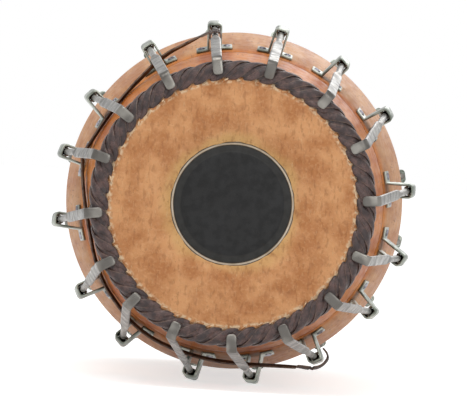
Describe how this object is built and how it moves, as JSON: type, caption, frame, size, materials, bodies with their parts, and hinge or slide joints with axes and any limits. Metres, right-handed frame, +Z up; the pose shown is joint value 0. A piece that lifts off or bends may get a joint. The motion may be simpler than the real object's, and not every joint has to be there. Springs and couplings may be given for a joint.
{
  "type": "barrel drum",
  "caption": "Two-headed wooden barrel drum with skins held by braided leather rings and drawn tight by hook bolts through brackets on the shell.",
  "frame": {"origin": "on the floor under the middle of the lying drum", "axes": "+Y along the drum's axis towards the left head, +Z up, the right head facing -Y"},
  "size_m": [0.2816, 0.5783, 0.2813],
  "materials": {
    "shell_wood": "satin varnish",
    "outer_skin": "matte raw hide",
    "pale_skin": "matte raw hide",
    "tuning_paste": "rubbed smooth",
    "braid_leather": "waxed",
    "hook_steel": "bright, worn",
    "bracket_steel": "dark satin"
  },
  "bodies": {
    "drum": {"shell_with_left_brackets": "shell_wood", "right_inner_ring": "pale_skin", "right_membrane": "pale_skin", "right_outer_ring": "outer_skin", "tuning_paste": "tuning_paste", "right_braid": "braid_leather", "left_membrane": "pale_skin", "left_outer_ring": "outer_skin", "left_braid_with_hook_bolts": "braid_leather", "tie_strap": "braid_leather", "right_bracket_01": "bracket_steel", "right_bracket_02": "bracket_steel", "right_bracket_03": "bracket_steel", "right_bracket_04": "bracket_steel", "right_bracket_05": "bracket_steel", "right_bracket_06": "bracket_steel", "right_bracket_07": "bracket_steel", "right_bracket_08": "bracket_steel", "right_bracket_09": "bracket_steel", "right_bracket_10": "bracket_steel", "right_bracket_11": "bracket_steel", "right_bracket_12": "bracket_steel", "right_bracket_13": "bracket_steel", "right_bracket_14": "bracket_steel", "right_bracket_15": "bracket_steel", "right_bracket_16": "bracket_steel"},
    "hook_bolt_01": {"right_hook_bolt_01": "hook_steel"},
    "nut_01": {"right_nut_01": "bracket_steel"},
    "hook_bolt_02": {"right_hook_bolt_02": "hook_steel"},
    "nut_02": {"right_nut_02": "bracket_steel"},
    "hook_bolt_03": {"right_hook_bolt_03": "hook_steel"},
    "nut_03": {"right_nut_03": "bracket_steel"},
    "hook_bolt_04": {"right_hook_bolt_04": "hook_steel"},
    "nut_04": {"right_nut_04": "bracket_steel"},
    "hook_bolt_05": {"right_hook_bolt_05": "hook_steel"},
    "nut_05": {"right_nut_05": "bracket_steel"},
    "hook_bolt_06": {"right_hook_bolt_06": "hook_steel"},
    "nut_06": {"right_nut_06": "bracket_steel"},
    "hook_bolt_07": {"right_hook_bolt_07": "hook_steel"},
    "nut_07": {"right_nut_07": "bracket_steel"},
    "hook_bolt_08": {"right_hook_bolt_08": "hook_steel"},
    "nut_08": {"right_nut_08": "bracket_steel"},
    "hook_bolt_09": {"right_hook_bolt_09": "hook_steel"},
    "nut_09": {"right_nut_09": "bracket_steel"},
    "hook_bolt_10": {"right_hook_bolt_10": "hook_steel"},
    "nut_10": {"right_nut_10": "bracket_steel"},
    "hook_bolt_11": {"right_hook_bolt_11": "hook_steel"},
    "nut_11": {"right_nut_11": "bracket_steel"},
    "hook_bolt_12": {"right_hook_bolt_12": "hook_steel"},
    "nut_12": {"right_nut_12": "bracket_steel"},
    "hook_bolt_13": {"right_hook_bolt_13": "hook_steel"},
    "nut_13": {"right_nut_13": "bracket_steel"},
    "hook_bolt_14": {"right_hook_bolt_14": "hook_steel"},
    "nut_14": {"right_nut_14": "bracket_steel"},
    "hook_bolt_15": {"right_hook_bolt_15": "hook_steel"},
    "nut_15": {"right_nut_15": "bracket_steel"},
    "hook_bolt_16": {"right_hook_bolt_16": "hook_steel"},
    "nut_16": {"right_nut_16": "bracket_steel"}
  },
  "joints": [
    {"name": "nut_01_turn", "type": "hinge", "parent": "drum", "child": "nut_01", "pos_m": [-0.02292, -0.11554, 0.27635], "axis": [-0.0263, 0.9874, 0.1558], "range_deg": [0, 2880]},
    {"name": "hook_bolt_01_slide", "type": "slide", "parent": "drum", "child": "hook_bolt_01", "axis": [0.0263, -0.9874, -0.1558], "range_m": [0, 0.0064]},
    {"name": "nut_02_turn", "type": "hinge", "parent": "drum", "child": "nut_02", "pos_m": [0.02957, -0.11554, 0.27506], "axis": [0.034, 0.9874, 0.1543], "range_deg": [0, 2880]},
    {"name": "hook_bolt_02_slide", "type": "slide", "parent": "drum", "child": "hook_bolt_02", "axis": [-0.034, -0.9874, -0.1543], "range_m": [0, 0.0064]},
    {"name": "nut_03_turn", "type": "hinge", "parent": "drum", "child": "nut_03", "pos_m": [0.07811, -0.11544, 0.254], "axis": [0.0558, 0.9863, 0.1551], "range_deg": [0, 2880]},
    {"name": "hook_bolt_03_slide", "type": "slide", "parent": "drum", "child": "hook_bolt_03", "axis": [-0.0558, -0.9863, -0.1551], "range_m": [0, 0.0064]},
    {"name": "nut_04_turn", "type": "hinge", "parent": "drum", "child": "nut_04", "pos_m": [0.11464, -0.11552, 0.21687], "axis": [0.0979, 0.9847, 0.1442], "range_deg": [0, 2880]},
    {"name": "hook_bolt_04_slide", "type": "slide", "parent": "drum", "child": "hook_bolt_04", "axis": [-0.0979, -0.9847, -0.1442], "range_m": [0, 0.0064]},
    {"name": "nut_05_turn", "type": "hinge", "parent": "drum", "child": "nut_05", "pos_m": [0.13648, -0.11547, 0.15824], "axis": [0.1536, 0.9869, 0.0501], "range_deg": [0, 2880]},
    {"name": "hook_bolt_05_slide", "type": "slide", "parent": "drum", "child": "hook_bolt_05", "axis": [-0.1536, -0.9869, -0.0501], "range_m": [0, 0.0064]},
    {"name": "nut_06_turn", "type": "hinge", "parent": "drum", "child": "nut_06", "pos_m": [0.13294, -0.11527, 0.105], "axis": [0.1668, 0.986, 0.0049], "range_deg": [0, 2880]},
    {"name": "hook_bolt_06_slide", "type": "slide", "parent": "drum", "child": "hook_bolt_06", "axis": [-0.1668, -0.986, -0.0049], "range_m": [0, 0.0064]},
    {"name": "nut_07_turn", "type": "hinge", "parent": "drum", "child": "nut_07", "pos_m": [0.11284, -0.11535, 0.06186], "axis": [0.1661, 0.9852, -0.0429], "range_deg": [0, 2880]},
    {"name": "hook_bolt_07_slide", "type": "slide", "parent": "drum", "child": "hook_bolt_07", "axis": [-0.1661, -0.9852, 0.0429], "range_m": [0, 0.0064]},
    {"name": "nut_08_turn", "type": "hinge", "parent": "drum", "child": "nut_08", "pos_m": [0.07214, -0.11541, 0.02346], "axis": [0.1407, 0.9847, -0.1029], "range_deg": [0, 2880]},
    {"name": "hook_bolt_08_slide", "type": "slide", "parent": "drum", "child": "hook_bolt_08", "axis": [-0.1407, -0.9847, 0.1029], "range_m": [0, 0.0064]},
    {"name": "nut_09_turn", "type": "hinge", "parent": "drum", "child": "nut_09", "pos_m": [0.0231, -0.11518, 0.00494], "axis": [0.098, 0.9842, -0.1477], "range_deg": [0, 2880]},
    {"name": "hook_bolt_09_slide", "type": "slide", "parent": "drum", "child": "hook_bolt_09", "axis": [-0.098, -0.9842, 0.1477], "range_m": [0, 0.0064]},
    {"name": "nut_10_turn", "type": "hinge", "parent": "drum", "child": "nut_10", "pos_m": [-0.02378, -0.11548, 0.00495], "axis": [0.093, 0.9775, -0.1891], "range_deg": [0, 2880]},
    {"name": "hook_bolt_10_slide", "type": "slide", "parent": "drum", "child": "hook_bolt_10", "axis": [-0.093, -0.9775, 0.1891], "range_m": [0, 0.0064]},
    {"name": "nut_11_turn", "type": "hinge", "parent": "drum", "child": "nut_11", "pos_m": [-0.07957, -0.11532, 0.02832], "axis": [-0.0306, 0.9836, -0.1777], "range_deg": [0, 2880]},
    {"name": "hook_bolt_11_slide", "type": "slide", "parent": "drum", "child": "hook_bolt_11", "axis": [0.0306, -0.9836, 0.1777], "range_m": [0, 0.0064]},
    {"name": "nut_12_turn", "type": "hinge", "parent": "drum", "child": "nut_12", "pos_m": [-0.11404, -0.11542, 0.06361], "axis": [-0.0996, 0.9852, -0.1397], "range_deg": [0, 2880]},
    {"name": "hook_bolt_12_slide", "type": "slide", "parent": "drum", "child": "hook_bolt_12", "axis": [0.0996, -0.9852, 0.1397], "range_m": [0, 0.0064]},
    {"name": "nut_13_turn", "type": "hinge", "parent": "drum", "child": "nut_13", "pos_m": [-0.1358, -0.11544, 0.11852], "axis": [-0.1525, 0.9871, -0.0493], "range_deg": [0, 2880]},
    {"name": "hook_bolt_13_slide", "type": "slide", "parent": "drum", "child": "hook_bolt_13", "axis": [0.1525, -0.9871, 0.0493], "range_m": [0, 0.0064]},
    {"name": "nut_14_turn", "type": "hinge", "parent": "drum", "child": "nut_14", "pos_m": [-0.134, -0.11549, 0.17196], "axis": [-0.163, 0.9866, 0.001], "range_deg": [0, 2880]},
    {"name": "hook_bolt_14_slide", "type": "slide", "parent": "drum", "child": "hook_bolt_14", "axis": [0.163, -0.9866, -0.001], "range_m": [0, 0.0064]},
    {"name": "nut_15_turn", "type": "hinge", "parent": "drum", "child": "nut_15", "pos_m": [-0.11524, -0.11541, 0.21591], "axis": [-0.1529, 0.9866, 0.0567], "range_deg": [0, 2880]},
    {"name": "hook_bolt_15_slide", "type": "slide", "parent": "drum", "child": "hook_bolt_15", "axis": [0.1529, -0.9866, -0.0567], "range_m": [0, 0.0064]},
    {"name": "nut_16_turn", "type": "hinge", "parent": "drum", "child": "nut_16", "pos_m": [-0.07328, -0.11555, 0.25714], "axis": [-0.0944, 0.9873, 0.1274], "range_deg": [0, 2880]},
    {"name": "hook_bolt_16_slide", "type": "slide", "parent": "drum", "child": "hook_bolt_16", "axis": [0.0944, -0.9873, -0.1274], "range_m": [0, 0.0064]}
  ],
  "couplings": [
    {"joint": "nut_01_turn", "follows": "hook_bolt_01_slide", "rad_per_m": 7853.9},
    {"joint": "nut_02_turn", "follows": "hook_bolt_02_slide", "rad_per_m": 7853.9},
    {"joint": "nut_03_turn", "follows": "hook_bolt_03_slide", "rad_per_m": 7853.9},
    {"joint": "nut_04_turn", "follows": "hook_bolt_04_slide", "rad_per_m": 7853.9},
    {"joint": "nut_05_turn", "follows": "hook_bolt_05_slide", "rad_per_m": 7853.9},
    {"joint": "nut_06_turn", "follows": "hook_bolt_06_slide", "rad_per_m": 7853.9},
    {"joint": "nut_07_turn", "follows": "hook_bolt_07_slide", "rad_per_m": 7853.9},
    {"joint": "nut_08_turn", "follows": "hook_bolt_08_slide", "rad_per_m": 7853.9},
    {"joint": "nut_09_turn", "follows": "hook_bolt_09_slide", "rad_per_m": 7853.9},
    {"joint": "nut_10_turn", "follows": "hook_bolt_10_slide", "rad_per_m": 7853.9},
    {"joint": "nut_11_turn", "follows": "hook_bolt_11_slide", "rad_per_m": 7853.9},
    {"joint": "nut_12_turn", "follows": "hook_bolt_12_slide", "rad_per_m": 7853.9},
    {"joint": "nut_13_turn", "follows": "hook_bolt_13_slide", "rad_per_m": 7853.9},
    {"joint": "nut_14_turn", "follows": "hook_bolt_14_slide", "rad_per_m": 7853.9},
    {"joint": "nut_15_turn", "follows": "hook_bolt_15_slide", "rad_per_m": 7853.9},
    {"joint": "nut_16_turn", "follows": "hook_bolt_16_slide", "rad_per_m": 7853.9}
  ]
}
